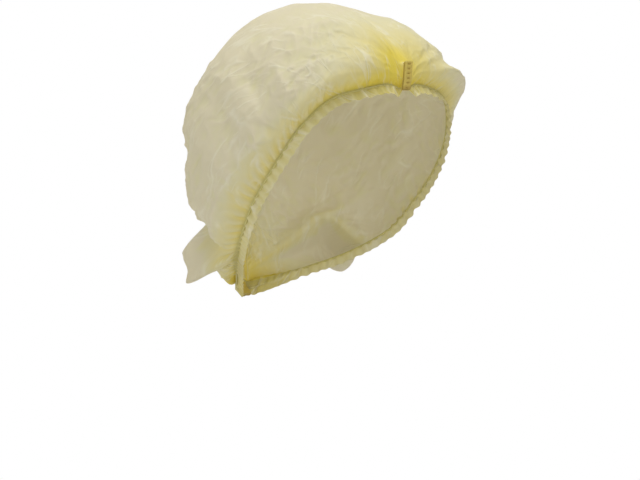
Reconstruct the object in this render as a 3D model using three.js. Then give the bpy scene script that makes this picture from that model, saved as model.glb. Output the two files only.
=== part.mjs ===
import * as THREE from "three";

// Disposable clip cap: a sheet of thin nonwoven folded into pleats, welded shut at two end tabs and
// gathered on an elastic along both long edges, shown opened into the shape it takes over a head.
//
// Millimetres. The origin is where the top of the head bears on the inside of the crown.
// +X is the wearer's left, -Y the front, +Z up. The pleats run from the front tab to the rear tab.
//
// Two shares place every point of the cloth. `along` goes from the front tab (0) to the rear tab (1).
// `across` goes from the top line (0) to the elastic on the wearer's left (1) or right (-1).

// The rounded form the cap is stretched over.
const FORM_WIDTH = 152;
const FORM_LENGTH = 190;
const FORM_DROP = 104;
const FORM_SETBACK = 1;
const PLAN_POWER = 2.5;
const RISE_POWER = 2;

// Cloth, elastic and frill.
const WALL = 1.2;
const GAP = 0.35;
const CORD = 1.5;
const FRILL_WIDTH = 6.5;
const FRILL_SWING = 1.5;
const FRILL_FLARE = 0.35;
const RUFFLES = 39;

// Weld tabs and the dashes pressed into them.
const TAB_WIDTH = 6.8;
const TAB_HEIGHT = 17.5;
const TAB_THICKNESS = 3;
const TAB_SETBACK = WALL + 3 * GAP;
const TAB_LEAN = 3;
const DASH_LENGTH = 2.8;
const DASH_DEPTH = 0.5;
const DASHES = 6;

// The top line runs round the form between these angles, measured up from the forehead.
const TOP_FROM = 37;
const TOP_TO = 222;

// Where the cords and the frills end short of the tabs, as places along.
const HELD_FROM = 0.004;
const CORD_TO = 0.985;
const FRILL_TO = 0.965;

// Sizes of the loose forms: one puff is the unit of looseness and of the folds.
const PUFF = 10;
const PLEAT_DEPTH = 1.5;
const PLEATS = 8;
const GATHER_DEPTH = 2;
const GATHERS = 14;

// Cells of the crown along, of the round cords and of each ruffle.
const CELLS_ALONG = 56;
const CORD_CELLS = 40;
const CORD_SIDES = 6;
const CELLS_A_RUFFLE = 4;

const CENTRE = new THREE.Vector3(0, FORM_SETBACK, -FORM_DROP);
const HALF = new THREE.Vector3(FORM_WIDTH / 2, FORM_LENGTH / 2, FORM_DROP);

/** Rows of numbers as objects whose fields carry the column names. */
const table = (columns, rows) =>
  rows.map((row) => Object.fromEntries(columns.map((name, i) => [name, row[i]])));

// The line of the elastic, from the form's centre: outward in half widths, backward in half lengths
// and upward in drops of the form.
const RIM = table(["at", "out", "back", "up"], [
  [0, 0.055, -0.911, 0.457],
  [0.035, 0.166, -0.893, 0.481],
  [0.095, 0.378, -0.871, 0.458],
  [0.19, 0.671, -0.753, 0.387],
  [0.29, 0.871, -0.611, 0.212],
  [0.375, 0.959, -0.478, 0.03],
  [0.46, 0.991, -0.318, -0.152],
  [0.545, 0.972, -0.153, -0.313],
  [0.63, 0.901, 0.026, -0.495],
  [0.74, 0.684, 0.305, -0.663],
  [0.87, 0.382, 0.621, -0.795],
  [0.96, 0.118, 0.895, -0.91],
  [1, 0.055, 0.963, -0.93],
]);

// Columns of points from the top line to the rim, closer together where the skirt starts.
const COLUMNS = [
  0, 0.063, 0.125, 0.188, 0.25, 0.313, 0.375, 0.438, 0.5, 0.563, 0.625, 0.685, 0.72, 0.79, 0.86, 0.93, 1,
];

// Places across where the looseness of the cloth is written.
const UPPER = { top: 0, crown: 0.2, upper: 0.4, side: 0.55 };
const ACROSS = { ...UPPER, waist: 0.685, skirt: 0.72, roll: 0.86, hem: 0.95, rim: 1 };

// How far the cloth stands off the form, in puffs.
const LOOSENESS = table(["at", ...Object.keys(ACROSS)], [
  [0, 1, 0.95, 0.85, 0.75, 0.65, 0.6, 0.45, 0.3, 0.22],
  [0.05, 0.9, 1, 1.05, 1.05, 1.05, 1, 0.85, 0.6, 0.2],
  [0.12, 0.5, 0.75, 1.2, 1.4, 1.5, 1.55, 1.4, 1, 0.2],
  [0.2, 0.3, 0.35, 0.95, 1.15, 1.25, 1.3, 1.4, 1.2, 0.2],
  [0.3, 0.15, 0.2, 0.55, 0.85, 1, 1.05, 1, 0.75, 0.2],
  [0.45, 0.45, 0.48, 0.6, 0.8, 0.85, 0.9, 0.9, 0.7, 0.2],
  [0.58, 0.42, 0.4, 0.72, 0.65, 0.7, 0.8, 0.9, 0.7, 0.2],
  [0.655, 0.55, 0.6, 0.55, 0.5, 0.2, 0.45, 1, 0.8, 0.2],
  [0.69, 0.6, 0.65, 0.6, 0.45, -0.3, -0.1, 0.5, 0.6, 0.15],
  [0.712, 0.6, 0.65, 0.62, 0.42, -0.3, 2.2, 2, 0.9, 0.12],
  [0.735, 0.6, 0.65, 0.65, 0.4, -0.3, 1.4, 3, 1.5, 0.1],
  [0.775, 0.65, 0.65, 0.65, 0.45, 0, 1.4, 1.3, 0.5, 0],
  [0.83, 0.75, 0.75, 0.8, 0.7, 0.5, 1.3, 1.4, 1.1, 0.2],
  [0.88, 0.9, 0.9, 0.95, 0.95, 1, 1.4, 1.9, 1.6, 0.6],
  [0.95, 1.8, 1.8, 1.9, 2, 2.1, 2.3, 2.8, 2.8, 2],
  [1, 2.8, 2.8, 2.8, 2.8, 2.8, 2.8, 2.8, 2.8, 2.8],
]);

// Single folds and dents: from one place to another, half width and height in puffs.
const FOLDS = table(["at", "across", "toAt", "toAcross", "width", "height"], [
  [0.06, -0.3, 0.24, -0.42, 0.6, 0.3],
  [0.24, -0.42, 0.4, -0.5, 0.8, 0.28],
  [0.1, -0.52, 0.34, -0.62, 0.8, -0.3],
  [0.06, 0.28, 0.3, 0.34, 0.7, 0.2],
  [0.08, 0.62, 0.26, 0.68, 0.7, -0.34],
  [0.12, 0.88, 0.25, 0.92, 0.8, 0.25],
  [0.03, 0, 0.22, 0.02, 0.8, -0.3],
  [0.36, -0.62, 0.3, -0.92, 0.7, 0.36],
  [0.42, -0.5, 0.36, -0.9, 0.7, -0.36],
  [0.46, -0.48, 0.41, -0.92, 0.8, 0.4],
  [0.5, -0.42, 0.46, -0.9, 0.7, -0.38],
  [0.54, -0.5, 0.51, -0.92, 0.8, 0.42],
  [0.58, -0.55, 0.57, -0.94, 0.7, -0.38],
  [0.62, -0.6, 0.61, -0.94, 0.7, 0.36],
  [0.4, -0.57, 0.4, -0.6, 1, -0.36],
  [0.52, -0.47, 0.53, -0.49, 1, -0.45],
  [0.36, 0.5, 0.32, 0.9, 0.8, 0.4],
  [0.43, 0.42, 0.4, 0.9, 0.8, -0.4],
  [0.5, 0.5, 0.47, 0.92, 0.8, 0.42],
  [0.57, 0.36, 0.55, 0.92, 0.8, -0.38],
  [0.63, 0.5, 0.62, 0.94, 0.7, 0.36],
  [0.48, -0.14, 0.62, 0.1, 0.9, 0.36],
  [0.52, 0.2, 0.68, 0.16, 0.8, -0.34],
  [0.3, -0.2, 0.44, 0.12, 0.8, 0.26],
  [0.34, 0.28, 0.52, 0.02, 0.8, -0.26],
  [0.66, -0.24, 0.86, -0.14, 0.9, 0.38],
  [0.7, 0.04, 0.9, 0.03, 0.9, -0.36],
  [0.66, 0.3, 0.86, 0.24, 0.9, 0.38],
  [0.72, 0.46, 0.84, 0.42, 0.8, -0.34],
  [0.72, -0.48, 0.84, -0.4, 0.8, -0.34],
  [0.605, -0.43, 0.635, -0.5, 0.6, -0.3],
  [0.66, -0.66, 0.75, -0.66, 0.55, -0.2],
  [0.66, 0.66, 0.75, 0.66, 0.55, -0.2],
]);

/** Slope of a column at one row, taken over its neighbours. */
function slope(rows, column, i) {
  const before = rows[Math.max(i - 1, 0)];
  const after = rows[Math.min(i + 1, rows.length - 1)];
  return (after[column] - before[column]) / (after.at - before.at);
}

/** Smooth value of a column at a place between the rows. */
function read(rows, column, at) {
  let i = 0;
  while (i < rows.length - 2 && at >= rows[i + 1].at) i += 1;
  const [a, b] = [rows[i], rows[i + 1]];
  const run = b.at - a.at;
  const t = (at - a.at) / run;
  const rise = slope(rows, column, i) * run;
  const fall = slope(rows, column, i + 1) * run;
  const start = (1 + 2 * t) * (1 - t) ** 2 * a[column] + t * (1 - t) ** 2 * rise;
  return start + t * t * (3 - 2 * t) * b[column] + t * t * (t - 1) * fall;
}

/** A curve that goes from 0 to 1 between two places. */
const step = (from, to, at) => THREE.MathUtils.smoothstep(at, from, to);

/** A wave of straight flanks between -1 and 1. */
const zigzag = (turns) => 1 - 4 * Math.abs((((turns % 1) + 1) % 1) - 0.5);

/** Distance from the form's centre to its skin. */
function formRadius(heading) {
  const x = Math.abs(heading.x / HALF.x) ** PLAN_POWER;
  const y = Math.abs(heading.y / HALF.y) ** PLAN_POWER;
  const z = Math.abs(heading.z / HALF.z) ** RISE_POWER;
  return ((x + y) ** (RISE_POWER / PLAN_POWER) + z) ** (-1 / RISE_POWER);
}

/** Direction in the middle plane, turned up from the forehead. */
function upright(degrees) {
  const turn = THREE.MathUtils.degToRad(degrees);
  return new THREE.Vector3(0, -Math.cos(turn), Math.sin(turn));
}

/** Point on the line of the elastic. */
function rimPoint(along, side) {
  const shares = ["out", "back", "up"].map((column) => read(RIM, column, along));
  const point = new THREE.Vector3(...shares).multiply(HALF).add(CENTRE);
  point.x *= side;
  return point;
}

/** Direction from the form's centre to a place of the cloth. */
function heading(along, across) {
  const top = upright(THREE.MathUtils.lerp(TOP_FROM, TOP_TO, along));
  const rim = rimPoint(along, 1).sub(CENTRE).normalize();
  const share = Math.abs(across);
  const angle = top.angleTo(rim);
  const result = top.multiplyScalar(Math.sin((1 - share) * angle));
  result.addScaledVector(rim, Math.sin(share * angle)).divideScalar(Math.sin(angle));
  const hairpin = Math.exp(-Math.min(along, 1 - along) / 0.03);
  result.x = result.x * (1 - hairpin) + rim.x * hairpin * Math.min(1, share / 0.12) ** 0.6;
  result.x *= Math.sign(across);
  return result.normalize();
}

/** Looseness of the cloth, without its folds, in millimetres. */
function looseness(along, across) {
  const row = Object.keys(ACROSS).map((name) => ({ at: ACROSS[name], off: read(LOOSENESS, name, along) }));
  const mirrored = [{ at: -row[1].at, off: row[1].off }, ...row];
  return PUFF * read(mirrored, "off", Math.abs(across));
}

/** Shortest way from a place of the cloth to a fold, in millimetres of a flattened cap. */
function wayToFold(fold, along, across) {
  const [length, breadth] = [Math.PI * HALF.y, Math.PI * HALF.x * 0.6];
  const run = new THREE.Vector2((fold.toAt - fold.at) * length, (fold.toAcross - fold.across) * breadth);
  const way = new THREE.Vector2((along - fold.at) * length, (across - fold.across) * breadth);
  const share = THREE.MathUtils.clamp(way.dot(run) / run.lengthSq(), 0, 1);
  return way.addScaledVector(run, -share).length();
}

/** Pleats running into the tabs, gathers above the elastic, and the single folds. */
function relief(along, across) {
  const share = Math.abs(across);
  const fan = step(0.02, 0.08, along) * (1 - step(0.1, 0.34, along));
  const rearFan = step(0.74, 0.88, along) * (1 - step(0.93, 0.98, along));
  const inside = 1 - step(0.9, 0.98, share);
  let height = PLEAT_DEPTH * zigzag((across * PLEATS) / 2) * (fan + rearFan) * inside;
  const band = step(0.72, 0.86, share) * (1 - step(0.93, 1, share));
  height += GATHER_DEPTH * zigzag(along * GATHERS) * band * step(0, 0.08, along) * step(1, 0.9, along);
  for (const fold of FOLDS) {
    const way = wayToFold(fold, along, across) / (fold.width * PUFF);
    height += PUFF * fold.height * Math.exp(-way * way) * inside;
  }
  return height;
}

/** Point in the middle of the cloth. */
function clothPoint(along, across) {
  const away = heading(along, across);
  const off = looseness(along, across) + relief(along, across);
  return CENTRE.clone().addScaledVector(away, formRadius(away) + off);
}

/** A grid of points, a row per step of the first share and a column per step of the second. */
function grid(rows, columns, pointAt) {
  const steps = (count) => Array.from({ length: count + 1 }, (_, i) => i / count);
  return steps(rows).map((s) => steps(columns).map((t) => pointAt(s, t)));
}

/** Puts two grids on the outer and the inner face of a solid and closes its edges. */
function closed(outer, inner) {
  const [rows, columns] = [outer.length, outer[0].length];
  const corner = (face, i, j) => (face * rows + i) * columns + j;
  const index = [];
  const quad = (a, b, c, d) => index.push(a, b, c, a, c, d);
  for (let i = 0; i < rows - 1; i += 1) {
    for (let j = 0; j < columns - 1; j += 1) {
      quad(corner(0, i, j), corner(0, i + 1, j), corner(0, i + 1, j + 1), corner(0, i, j + 1));
      quad(corner(1, i, j), corner(1, i, j + 1), corner(1, i + 1, j + 1), corner(1, i + 1, j));
    }
    quad(corner(0, i, 0), corner(1, i, 0), corner(1, i + 1, 0), corner(0, i + 1, 0));
    const j = columns - 1;
    quad(corner(0, i, j), corner(0, i + 1, j), corner(1, i + 1, j), corner(1, i, j));
  }
  for (let j = 0; j < columns - 1; j += 1) {
    quad(corner(0, 0, j), corner(0, 0, j + 1), corner(1, 0, j + 1), corner(1, 0, j));
    const i = rows - 1;
    quad(corner(0, i, j), corner(1, i, j), corner(1, i, j + 1), corner(0, i, j + 1));
  }
  return facingOut([...outer.flat(), ...inner.flat()], index);
}

/** Geometry of a closed solid, turned inside out if its volume comes out negative. */
function facingOut(points, index) {
  const volume = (a, b, c) => points[a].dot(points[b].clone().cross(points[c]));
  let sum = 0;
  for (let i = 0; i < index.length; i += 3) sum += volume(index[i], index[i + 1], index[i + 2]);
  const geometry = new THREE.BufferGeometry().setFromPoints(points);
  geometry.setIndex(sum < 0 ? index.reverse() : index);
  geometry.computeVertexNormals();
  return geometry;
}

/** Places along the crown, closer together towards both tabs. */
const placeAlong = (share) => share - (0.35 * Math.sin(2 * Math.PI * share)) / (2 * Math.PI);

/** The crown: the gathered sheet from elastic to elastic and from tab to tab. */
function crownGeometry() {
  const across = [...COLUMNS.slice(1).reverse().map((place) => -place), ...COLUMNS];
  const last = [CELLS_ALONG, across.length - 1];
  const places = (s, t) => [placeAlong(s), across[Math.round(t * last[1])]];
  const middle = grid(...last, (s, t) => clothPoint(...places(s, t)));
  const facing = (i, j) => {
    const away = heading(...places(i / last[0], j / last[1]));
    if (j === 0 || j === last[1]) return away;
    const [before, after] = [middle[Math.max(i - 1, 0)][j], middle[Math.min(i + 1, last[0])][j]];
    const normal = after.clone().sub(before).cross(middle[i][j + 1].clone().sub(middle[i][j - 1]));
    return normal.multiplyScalar(Math.sign(normal.dot(away))).normalize();
  };
  const half = (way) => (point, i, j) => point.clone().addScaledVector(facing(i, j), (way * WALL) / 2);
  const shifted = (way) => middle.map((row, i) => row.map((point, j) => half(way)(point, i, j)));
  return closed(shifted(1), shifted(-1));
}

/** Frame of the elastic at a place: along the line, away from the form, and out past the edge. */
function rimFrame(along, side) {
  const nudge = 0.002;
  const line = rimPoint(along + nudge, side).sub(rimPoint(along - nudge, side)).normalize();
  const away = rimPoint(along, side).sub(CENTRE).normalize();
  const past = line.clone().cross(away).multiplyScalar(side).normalize();
  return { line, away, past };
}

/** Elastic cord in the gathered line, a gap below the edge of the crown. */
function cordGeometry(side) {
  const points = [];
  const index = [];
  for (let i = 0; i <= CORD_CELLS; i += 1) {
    const along = THREE.MathUtils.lerp(HELD_FROM, CORD_TO, i / CORD_CELLS);
    const { away, past } = rimFrame(along, side);
    const middle = rimPoint(along, side).addScaledVector(past, GAP + CORD / 2);
    for (let k = 0; k < CORD_SIDES; k += 1) {
      const turn = (2 * Math.PI * k) / CORD_SIDES;
      const spoke = away.clone().multiplyScalar(Math.cos(turn)).addScaledVector(past, Math.sin(turn));
      points.push(middle.clone().addScaledVector(spoke, CORD / 2));
    }
  }
  const corner = (i, k) => i * CORD_SIDES + (k % CORD_SIDES);
  for (let i = 0; i < CORD_CELLS; i += 1) {
    for (let k = 0; k < CORD_SIDES; k += 1) {
      index.push(corner(i, k), corner(i + 1, k), corner(i + 1, k + 1));
      index.push(corner(i, k), corner(i + 1, k + 1), corner(i, k + 1));
    }
  }
  for (let k = 1; k < CORD_SIDES - 1; k += 1) {
    index.push(corner(0, 0), corner(0, k), corner(0, k + 1));
    index.push(corner(CORD_CELLS, 0), corner(CORD_CELLS, k + 1), corner(CORD_CELLS, k));
  }
  return facingOut(points, index);
}

/** Ruffled hem past the cord, swinging wider towards its free edge. */
function frillGeometry(side) {
  const face = (way) =>
    grid(RUFFLES * CELLS_A_RUFFLE, 1, (s, t) => {
      const along = THREE.MathUtils.lerp(HELD_FROM, FRILL_TO, s);
      const { line, away, past } = rimFrame(along, side);
      const swing = zigzag(s * RUFFLES);
      const out = 2 * GAP + CORD + t * FRILL_WIDTH * (1 + 0.12 * zigzag(s * RUFFLES * 0.37));
      const lift = t * (FRILL_FLARE * FRILL_WIDTH + FRILL_SWING * swing) + (way * WALL) / 2;
      const lean = t * 0.25 * FRILL_SWING * zigzag(s * RUFFLES + 0.25);
      const point = rimPoint(along, side).addScaledVector(past, out);
      return point.addScaledVector(away, lift).addScaledVector(line, lean);
    });
  return closed(face(1), face(-1));
}

/** Weld tab: a bar over the ends of the pleats with dashes pressed across it. */
function tabGeometry({ angle, way, off, endOff, lean }) {
  const degree = THREE.MathUtils.degToRad(1) * (formRadius(upright(angle)) + off);
  const start = angle + (way * TAB_SETBACK) / degree;
  const span = TAB_HEIGHT / degree;
  const dash = { at: [0, 0.12, 0.4, 0.52], depth: [0, DASH_DEPTH, DASH_DEPTH, 0] };
  const stations = [{ share: 0, depth: 0 }];
  for (let i = 0; i < DASHES; i += 1) {
    dash.at.forEach((at, k) => stations.push({ share: (i + 0.3 + at) / DASHES, depth: dash.depth[k] }));
  }
  stations.push({ share: 1, depth: 0 });
  const columns = [-TAB_WIDTH / 2, -DASH_LENGTH / 2, DASH_LENGTH / 2, TAB_WIDTH / 2];
  const face = (thickness) =>
    stations.map(({ share, depth }) =>
      columns.map((x, k) => {
        const away = upright(start + way * span * share);
        const pressed = thickness > 0 && k % 3 !== 0 ? depth : 0;
        const standOff = THREE.MathUtils.lerp(off, endOff, share) + thickness - pressed;
        const point = CENTRE.clone().addScaledVector(away, formRadius(away) + standOff);
        return point.setX(x + lean * (0.5 - share));
      }),
    );
  return closed(face(TAB_THICKNESS), face(0));
}

// Both tabs: the angle of the top line's end, the way they hang from it, their stand-off at that end
// and at the free end, and how far the free end leans to the wearer's right.
const FRONT_TAB = { angle: TOP_FROM, way: -1, off: 1.12 * PUFF, endOff: 0.45 * PUFF, lean: TAB_LEAN };
const REAR_TAB = { angle: TOP_TO, way: 1, off: 2.96 * PUFF, endOff: 2.96 * PUFF, lean: 0 };

const cloth = new THREE.MeshStandardMaterial({ color: 0xe2dbb4, roughness: 0.85, metalness: 0 });
const hem = new THREE.MeshStandardMaterial({ color: 0xcfc590, roughness: 0.85, metalness: 0 });
const elastic = new THREE.MeshStandardMaterial({ color: 0xb0a45c, roughness: 0.7, metalness: 0 });
const weld = new THREE.MeshStandardMaterial({ color: 0xc9ab4e, roughness: 0.55, metalness: 0 });

const cap = new THREE.Group();
const add = (name, geometry, material) => {
  const mesh = new THREE.Mesh(geometry, material);
  mesh.name = name;
  cap.add(mesh);
};
add("crown", crownGeometry(), cloth);
add("frill_right", frillGeometry(-1), hem);
add("frill_left", frillGeometry(1), hem);
add("elastic_right", cordGeometry(-1), elastic);
add("elastic_left", cordGeometry(1), elastic);
add("front_weld_tab", tabGeometry(FRONT_TAB), weld);
add("rear_weld_tab", tabGeometry(REAR_TAB), weld);

export default cap;
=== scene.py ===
# %% [markdown]
# A disposable clip cap. A rectangle of thin spunbond cloth is folded into pleats, welded shut at its
# two ends, and gathered on an elastic along both long edges. Opened out it becomes a loose puffy crown
# with a ruffled frill round its opening.
#
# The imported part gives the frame: every piece below is made in metres, where its solid already is.

# %% Load the frame
import math

import bpy
import numpy as np
from mathutils import Matrix, Vector


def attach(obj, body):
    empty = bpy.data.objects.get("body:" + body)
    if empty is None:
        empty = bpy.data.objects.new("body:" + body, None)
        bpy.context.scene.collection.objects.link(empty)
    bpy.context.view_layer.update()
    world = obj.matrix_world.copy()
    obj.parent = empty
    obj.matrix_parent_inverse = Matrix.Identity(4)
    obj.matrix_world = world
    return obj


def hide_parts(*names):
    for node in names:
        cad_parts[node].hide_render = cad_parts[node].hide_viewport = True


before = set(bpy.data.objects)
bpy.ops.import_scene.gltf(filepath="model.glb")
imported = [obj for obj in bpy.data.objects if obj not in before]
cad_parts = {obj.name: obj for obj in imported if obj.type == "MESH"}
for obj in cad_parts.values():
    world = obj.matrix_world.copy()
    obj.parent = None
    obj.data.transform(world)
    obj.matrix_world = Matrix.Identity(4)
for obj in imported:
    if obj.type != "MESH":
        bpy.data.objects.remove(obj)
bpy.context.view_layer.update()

scene = bpy.context.scene
MM = 0.001
print("solids to dress:", sorted(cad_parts))

# %% [markdown]
# The camera stands low in front, on the wearer's right, as in the photograph. Its place is given by
# two angles and a distance, and its aim by the picture point where the origin falls.

# %% Camera
AZIMUTH, ELEVATION = math.radians(-40), math.radians(3)
DISTANCE = 1.68
LENS, SENSOR = 135, 36  # both in millimetres
METRES_PER_PIXEL = 0.0007
ORIGIN_PIXEL = np.array([321, 8])
PICTURE = np.array([640, 480])


def aim_camera():
    """Back is the unit direction from the aim to the lens; the aim is the origin, moved by its pixel
    offset from the picture's middle times the metres that one pixel covers."""
    back = np.array([math.sin(AZIMUTH) * math.cos(ELEVATION), -math.cos(AZIMUTH) * math.cos(ELEVATION),
                     math.sin(ELEVATION)])
    right = np.array([math.cos(AZIMUTH), math.sin(AZIMUTH), 0])
    offset = (PICTURE / 2 - ORIGIN_PIXEL) * METRES_PER_PIXEL
    aim = right * offset[0] - np.array([0, 0, offset[1]])
    axes = np.column_stack([right, np.cross(back, right), back, aim + back * DISTANCE])
    lens = bpy.data.cameras.new("camera")
    lens.lens, lens.sensor_width = LENS, SENSOR
    camera = bpy.data.objects.new("camera", lens)
    camera.matrix_world = Matrix(np.vstack([axes, [0, 0, 0, 1]]).tolist())
    scene.collection.objects.link(camera)
    scene.camera = camera
    return camera


camera = aim_camera()
print("camera at", [round(v, 3) for v in camera.matrix_world.translation])

# %% [markdown]
# Every sheet here is a grid of points with a place `along` from the front tab (0) to the rear tab (1)
# and a place `across` from the top line (0) to the elastic on the left (1) or the right (-1). The
# opened shape could be sculpted by hand or blown up from a flat pattern, but tables are easier to
# correct row by row. They say where the elastic runs and how far the cloth stands off a rounded form.

# %% Tables of the rim and of the looseness
# The form's half width, length and height, its centre, and how square it is from above and from the
# side. The top line turns about the centre from TOP_START to TOP_END.
HALF = np.array([76, 95, 104]) * MM
CENTRE = np.array([0, 1, -104]) * MM
PLAN_POWER, RISE_POWER = 2.5, 2.0
TOP_START, TOP_END = math.radians(37), math.radians(222)
PUFF = 10 * MM
HELD_FROM, CORD_TO = 0.004, 0.985  # places along between which the elastic's cord runs

# Line of the elastic: place along, then shares of the form's half width, length and height.
RIM = np.array([
    [0, 0.055, -0.911, 0.457],
    [0.035, 0.166, -0.893, 0.481],
    [0.095, 0.378, -0.871, 0.458],
    [0.19, 0.671, -0.753, 0.387],
    [0.29, 0.871, -0.611, 0.212],
    [0.375, 0.959, -0.478, 0.03],
    [0.46, 0.991, -0.318, -0.152],
    [0.545, 0.972, -0.153, -0.313],
    [0.63, 0.901, 0.026, -0.495],
    [0.74, 0.684, 0.305, -0.663],
    [0.87, 0.382, 0.621, -0.795],
    [0.96, 0.118, 0.895, -0.91],
    [1, 0.055, 0.963, -0.93],
])

# How loose the cloth lies, in puffs: place along, then one column for each place across.
ACROSS = np.array([0, 0.2, 0.4, 0.55, 0.685, 0.72, 0.86, 0.95, 1])
LOOSENESS = np.array([
    [0, 1, 0.95, 0.85, 0.75, 0.65, 0.6, 0.45, 0.3, 0.22],
    [0.05, 0.9, 1, 1.05, 1.05, 1.05, 1, 0.85, 0.6, 0.2],
    [0.12, 0.5, 0.75, 1.2, 1.4, 1.5, 1.55, 1.4, 1, 0.2],
    [0.2, 0.3, 0.35, 0.95, 1.15, 1.25, 1.3, 1.4, 1.2, 0.2],
    [0.3, 0.15, 0.2, 0.55, 0.85, 1, 1.05, 1, 0.75, 0.2],
    [0.45, 0.45, 0.48, 0.6, 0.8, 0.85, 0.9, 0.9, 0.7, 0.2],
    [0.58, 0.42, 0.4, 0.72, 0.65, 0.7, 0.8, 0.9, 0.7, 0.2],
    [0.655, 0.55, 0.6, 0.55, 0.5, 0.2, 0.45, 1, 0.8, 0.2],
    [0.69, 0.6, 0.65, 0.6, 0.45, -0.3, -0.1, 0.5, 0.6, 0.15],
    [0.712, 0.6, 0.65, 0.62, 0.42, -0.3, 2.2, 2, 0.9, 0.12],
    [0.735, 0.6, 0.65, 0.65, 0.4, -0.3, 1.4, 3, 1.5, 0.1],
    [0.775, 0.65, 0.65, 0.65, 0.45, 0, 1.4, 1.3, 0.5, 0],
    [0.83, 0.75, 0.75, 0.8, 0.7, 0.5, 1.3, 1.4, 1.1, 0.2],
    [0.88, 0.9, 0.9, 0.95, 0.95, 1, 1.4, 1.9, 1.6, 0.6],
    [0.95, 1.8, 1.8, 1.9, 2, 2.1, 2.3, 2.8, 2.8, 2],
    [1, 2.8, 2.8, 2.8, 2.8, 2.8, 2.8, 2.8, 2.8, 2.8],
])

print("rim: %d rows, looseness: %d rows and %d columns" % (len(RIM), len(LOOSENESS), len(ACROSS)))

# %% [markdown]
# Some folds are large enough to be told apart from afar, such as those that fan out over the sides.
# The relaxed cloth makes folds of its own, but not in these places, so each of these is laid in as a
# ridge or a valley along a short line.

# %% Single folds and bulges
# From (along, across) to (along, across), then width and height in puffs.
FOLDS = np.array([
    [0.06, -0.3, 0.24, -0.42, 0.6, 0.3],
    [0.24, -0.42, 0.4, -0.5, 0.8, 0.28],
    [0.1, -0.52, 0.34, -0.62, 0.8, -0.3],
    [0.06, 0.28, 0.3, 0.34, 0.7, 0.2],
    [0.08, 0.62, 0.26, 0.68, 0.7, -0.34],
    [0.12, 0.88, 0.25, 0.92, 0.8, 0.25],
    [0.03, 0, 0.22, 0.02, 0.8, -0.3],
    [0.36, -0.62, 0.3, -0.92, 0.7, 0.36],
    [0.42, -0.5, 0.36, -0.9, 0.7, -0.36],
    [0.46, -0.48, 0.41, -0.92, 0.8, 0.4],
    [0.5, -0.42, 0.46, -0.9, 0.7, -0.38],
    [0.54, -0.5, 0.51, -0.92, 0.8, 0.42],
    [0.58, -0.55, 0.57, -0.94, 0.7, -0.38],
    [0.62, -0.6, 0.61, -0.94, 0.7, 0.36],
    [0.4, -0.57, 0.4, -0.6, 1, -0.36],
    [0.52, -0.47, 0.53, -0.49, 1, -0.45],
    [0.36, 0.5, 0.32, 0.9, 0.8, 0.4],
    [0.43, 0.42, 0.4, 0.9, 0.8, -0.4],
    [0.5, 0.5, 0.47, 0.92, 0.8, 0.42],
    [0.57, 0.36, 0.55, 0.92, 0.8, -0.38],
    [0.63, 0.5, 0.62, 0.94, 0.7, 0.36],
    [0.48, -0.14, 0.62, 0.1, 0.9, 0.36],
    [0.52, 0.2, 0.68, 0.16, 0.8, -0.34],
    [0.3, -0.2, 0.44, 0.12, 0.8, 0.26],
    [0.34, 0.28, 0.52, 0.02, 0.8, -0.26],
    [0.66, -0.24, 0.86, -0.14, 0.9, 0.38],
    [0.7, 0.04, 0.9, 0.03, 0.9, -0.36],
    [0.66, 0.3, 0.86, 0.24, 0.9, 0.38],
    [0.72, 0.46, 0.84, 0.42, 0.8, -0.34],
    [0.72, -0.48, 0.84, -0.4, 0.8, -0.34],
    [0.605, -0.43, 0.635, -0.5, 0.6, -0.3],
    [0.66, -0.66, 0.75, -0.66, 0.55, -0.2],
    [0.66, 0.66, 0.75, 0.66, 0.55, -0.2],
])
# The relaxed cloth adds to these, so they are laid in at a share of their height.
FOLD_SHARE = 0.35

# Places that the relaxed cloth would pull flat, in the same columns and at their full height.
BULGES = np.array([
    [0.13, 0.93, 0.22, 0.95, 1.1, 0.65],
    [0.19, 0.66, 0.21, 0.68, 0.7, 0.28],
    [0.27, -0.03, 0.43, -0.1, 1.8, 0.12],
    [0.57, -0.33, 0.59, -0.37, 0.9, 0.15],
    [0.59, -0.48, 0.61, -0.42, 0.55, -0.5],
    [0.695, -0.72, 0.696, -0.77, 0.25, 0.9],
    [0.655, -0.78, 0.66, -0.8, 0.5, -0.5],
    [0.728, -0.88, 0.73, -0.9, 0.45, 0.65],
    [0.75, -0.9, 0.765, -0.93, 0.45, -1.2],
    [0.68, -0.52, 0.66, -0.7, 0.8, 0.22],
])
print(len(FOLDS), "folds and", len(BULGES), "bulges")

# %% [markdown]
# A table gives a few rows, and the cloth between them runs on smoothly. A cubic that keeps each row's
# value and slope does that and passes through every row.


# %% Reading tables
def central_slopes(places, values):
    """Slope at each row, taken straight from the row before to the row after."""
    run = places.reshape((-1,) + (1,) * (values.ndim - 1))
    result = np.empty_like(values)
    result[1:-1] = (values[2:] - values[:-2]) / (run[2:] - run[:-2])
    result[0] = (values[1] - values[0]) / (run[1] - run[0])
    result[-1] = (values[-1] - values[-2]) / (run[-1] - run[-2])
    return result


def read(places, values, at, rise=None):
    """Cubic between two rows that keeps both rows' values and slopes (Hermite)."""
    at = np.asarray(at, float)
    rise = central_slopes(places, values) if rise is None else rise
    i = np.clip(np.searchsorted(places, at, side="right") - 1, 0, len(places) - 2)
    run = places[i + 1] - places[i]
    t = (at - places[i]) / run
    if values.ndim == 1:
        a, b, up, down = values[i], values[i + 1], rise[i], rise[i + 1]
    else:
        pick = lambda rows, k: np.take_along_axis(rows, np.broadcast_to(k, rows.shape[1:])[None], 0)[0]
        a, b, up, down = pick(values, i), pick(values, i + 1), pick(rise, i), pick(rise, i + 1)
    return ((1 + 2 * t) * (1 - t) ** 2 * a + t * (1 - t) ** 2 * run * up
            + t * t * (3 - 2 * t) * b + t * t * (t - 1) * run * down)


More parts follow.
